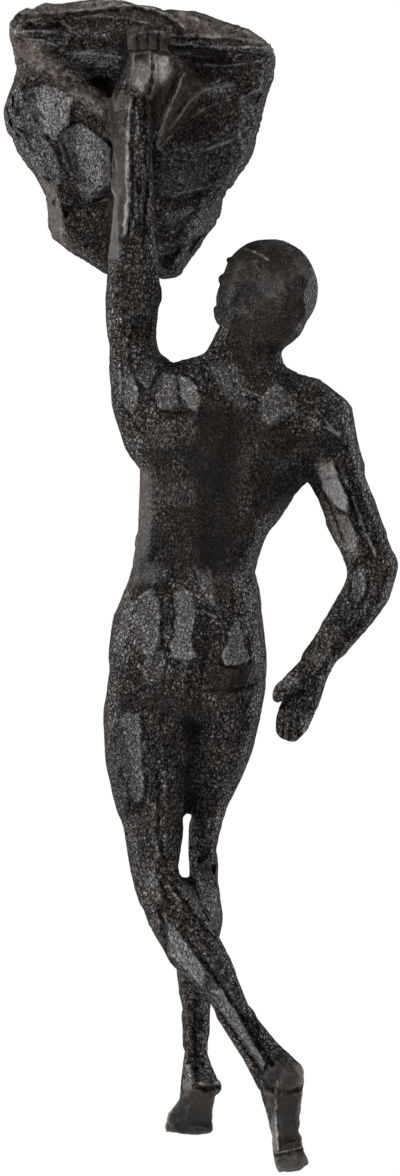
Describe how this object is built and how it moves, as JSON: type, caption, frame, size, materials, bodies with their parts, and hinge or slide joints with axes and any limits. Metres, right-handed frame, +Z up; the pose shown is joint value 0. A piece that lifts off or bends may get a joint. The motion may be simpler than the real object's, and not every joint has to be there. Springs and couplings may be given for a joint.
{
  "type": "hanging wall figure",
  "caption": "Cast plastic climber seen from behind, hanging by one hand from a block of rock whose flat back goes on a wall.",
  "frame": {"origin": "the mount point wall_face, on the rock's flat back, 11 mm below the middle of the keyhole's round way in", "axes": "+Y points out of the rock's back into the wall, so the viewer stands on the -Y side; +Z is up; +X is to the viewer's right"},
  "size_m": [0.0948, 0.0551, 0.281],
  "materials": {
    "dark_cast_resin": "near-black brown cast resin, rubbed grey on the raised places"
  },
  "bodies": {
    "root": {"climbing_man_on_rock": "dark_cast_resin"}
  },
  "joints": []
}
